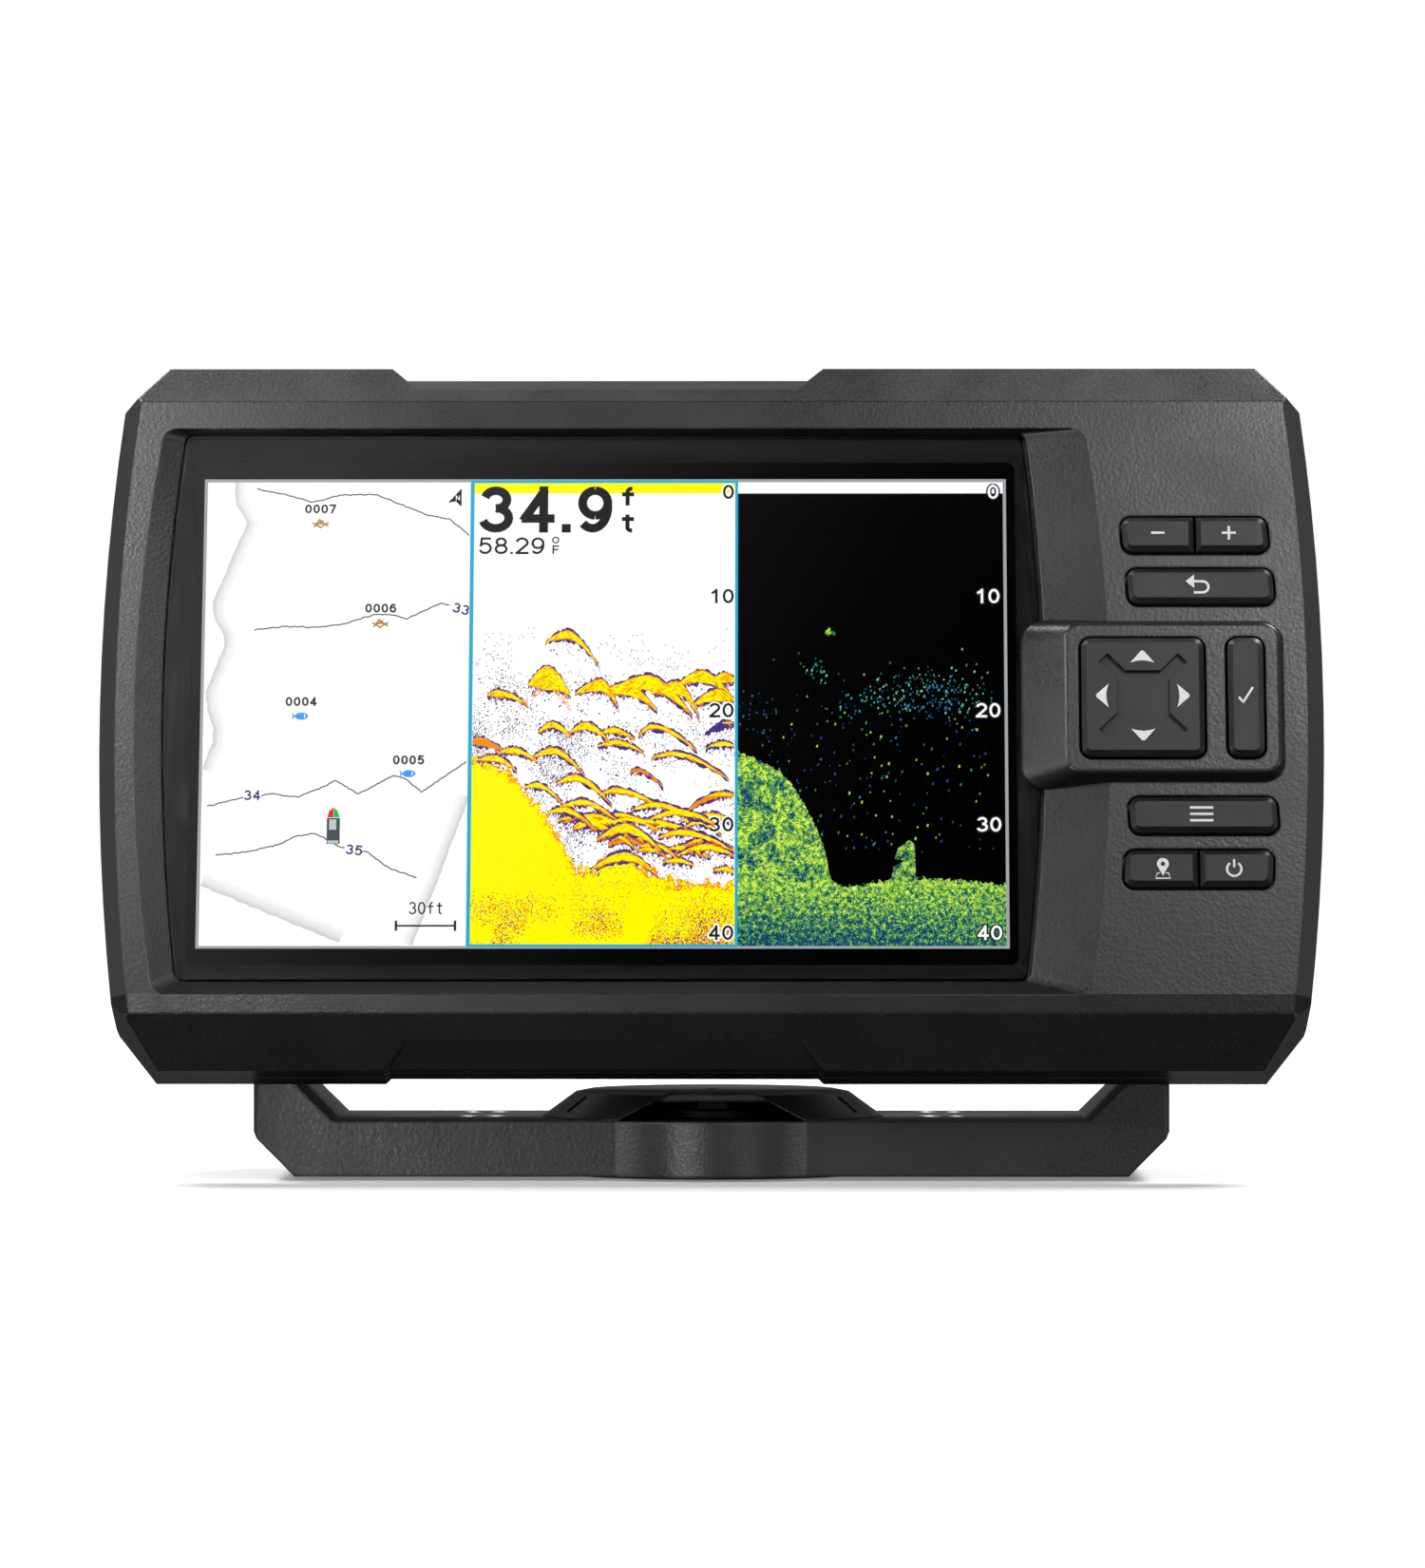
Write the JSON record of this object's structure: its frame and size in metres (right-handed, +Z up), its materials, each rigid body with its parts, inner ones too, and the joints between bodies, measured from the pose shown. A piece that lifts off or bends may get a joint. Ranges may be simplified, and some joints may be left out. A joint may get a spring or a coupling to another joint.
{
  "type": "fish finder",
  "caption": "Fish finder head unit with a wide screen and a key column, on a swivel base and tilting bail bracket held by side knobs.",
  "frame": {"origin": "centre of the base pad's underside, on the swivel axis", "axes": "+Z up along the swivel axis, +X to the viewer's right along the tilt axis, screen faces -Y, leaning back at rest"},
  "size_m": [0.2326, 0.0779, 0.1552],
  "materials": {
    "case_plastic": "fine speckled texture, satin",
    "bracket_plastic": "fine textured satin",
    "key_rubber": "smooth satin",
    "accent_seal": "blue-green satin",
    "cover_glass": "polished, black printed border",
    "lcd": "polished",
    "adhesive": "matte",
    "white_plastic": "matte",
    "steel": "stamped sheet",
    "dark_steel": "black zinc",
    "circuit_board": "solder mask",
    "silicone": "moulded",
    "aluminium": "milled",
    "brass": "turned",
    "ceramic": "fired",
    "ferrite": "sintered",
    "flex": "film",
    "black_plastic": "moulded",
    "acetal": "low friction",
    "knob_plastic": "moulded",
    "seal_rubber": "moulded"
  },
  "bodies": {
    "base": {"base_pad": "seal_rubber", "swivel_base": "bracket_plastic", "thrust_washer": "acetal", "retaining_plate": "dark_steel", "swivel_bolt": "dark_steel"},
    "bail": {"bail_bracket": "bracket_plastic", "hub_cover": "bracket_plastic", "arm_pads": "seal_rubber"},
    "head": {"front_bezel": "case_plastic", "case_gasket": "accent_seal", "rear_housing": "case_plastic", "display_glass": "cover_glass", "glass_adhesive": "adhesive", "lcd_panel": "lcd", "backlight_panel": "white_plastic", "display_frame": "steel", "display_flex": "flex", "main_board": "circuit_board", "processor_shield": "steel", "sonar_shield": "steel", "heat_spreader": "aluminium", "power_coils": "ferrite", "capacitors": "aluminium", "buzzer": "black_plastic", "gps_antenna": "ceramic", "antenna_board": "circuit_board", "board_screws": "steel", "case_screws": "dark_steel", "keypad_flex": "flex", "keypad_membrane": "silicone", "keypad_board": "circuit_board", "switch_domes": "steel", "power_socket": "black_plastic", "transducer_socket": "black_plastic", "socket_pins": "brass", "socket_seals": "seal_rubber", "socket_nuts": "black_plastic", "breather_vent": "black_plastic", "left_insert": "brass", "right_insert": "brass"},
    "minus_key": {"minus_key": "key_rubber"},
    "plus_key": {"plus_key": "key_rubber"},
    "back_key": {"back_key": "key_rubber"},
    "menu_key": {"menu_key": "key_rubber"},
    "mark_key": {"mark_key": "key_rubber"},
    "power_key": {"power_key": "key_rubber"},
    "select_key": {"select_key": "key_rubber"},
    "dpad_actuator": {"dpad_actuator": "white_plastic"},
    "dpad_key": {"dpad_key": "key_rubber"},
    "left_knob_washer": {"left_knob_washer": "seal_rubber"},
    "left_knob": {"left_knob": "knob_plastic", "left_stud": "steel"},
    "right_knob_washer": {"right_knob_washer": "seal_rubber"},
    "right_knob": {"right_knob": "knob_plastic", "right_stud": "steel"}
  },
  "joints": [
    {"name": "swivel", "type": "hinge", "parent": "base", "child": "bail", "pos_m": [0, 0, 0.006], "axis": [0, 0, 1], "range_deg": [-80, 80]},
    {"name": "tilt", "type": "hinge", "parent": "bail", "child": "head", "pos_m": [0, 0.00195, 0.08149], "axis": [-1, 0, 0], "range_deg": [-1, 45]},
    {"name": "minus_key_press", "type": "slide", "parent": "head", "child": "minus_key", "axis": [0, 0.9681, -0.2504], "range_m": [0, 0.0007], "stiffness_N_per_m": 2500},
    {"name": "plus_key_press", "type": "slide", "parent": "head", "child": "plus_key", "axis": [0, 0.9681, -0.2504], "range_m": [0, 0.0007], "stiffness_N_per_m": 2500},
    {"name": "back_key_press", "type": "slide", "parent": "head", "child": "back_key", "axis": [0, 0.9681, -0.2504], "range_m": [0, 0.0007], "stiffness_N_per_m": 2500},
    {"name": "menu_key_press", "type": "slide", "parent": "head", "child": "menu_key", "axis": [0, 0.9681, -0.2504], "range_m": [0, 0.0007], "stiffness_N_per_m": 2500},
    {"name": "mark_key_press", "type": "slide", "parent": "head", "child": "mark_key", "axis": [0, 0.9681, -0.2504], "range_m": [0, 0.0007], "stiffness_N_per_m": 2500},
    {"name": "power_key_press", "type": "slide", "parent": "head", "child": "power_key", "axis": [0, 0.9681, -0.2504], "range_m": [0, 0.0007], "stiffness_N_per_m": 2500},
    {"name": "select_key_press", "type": "slide", "parent": "head", "child": "select_key", "axis": [0, 0.9681, -0.2504], "range_m": [0, 0.0007], "stiffness_N_per_m": 2500},
    {"name": "dpad_left_right", "type": "hinge", "parent": "head", "child": "dpad_actuator", "pos_m": [0.08167, -0.02553, 0.08945], "axis": [0, 0.2504, 0.9681], "range_deg": [-3, 3], "stiffness_Nm_per_rad": 0.5},
    {"name": "dpad_up_down", "type": "hinge", "parent": "dpad_actuator", "child": "dpad_key", "pos_m": [0.08167, -0.02689, 0.0898], "axis": [1, 0, 0], "range_deg": [-3, 3], "stiffness_Nm_per_rad": 0.5},
    {"name": "left_knob_travel", "type": "slide", "parent": "head", "child": "left_knob_washer", "axis": [-1, 0, 0], "range_m": [0, 0.00375]},
    {"name": "left_knob_turn", "type": "hinge", "parent": "left_knob_washer", "child": "left_knob", "pos_m": [-0.09, 0.00195, 0.08149], "axis": [-1, 0, 0], "range_deg": [0, 1080]},
    {"name": "right_knob_travel", "type": "slide", "parent": "head", "child": "right_knob_washer", "axis": [1, 0, 0], "range_m": [0, 0.00375]},
    {"name": "right_knob_turn", "type": "hinge", "parent": "right_knob_washer", "child": "right_knob", "pos_m": [0.09, 0.00195, 0.08149], "axis": [1, 0, 0], "range_deg": [0, 1080]}
  ],
  "couplings": [
    {"joint": "left_knob_turn", "follows": "left_knob_travel", "rad_per_m": 5026.5},
    {"joint": "right_knob_turn", "follows": "right_knob_travel", "rad_per_m": 5026.5}
  ]
}
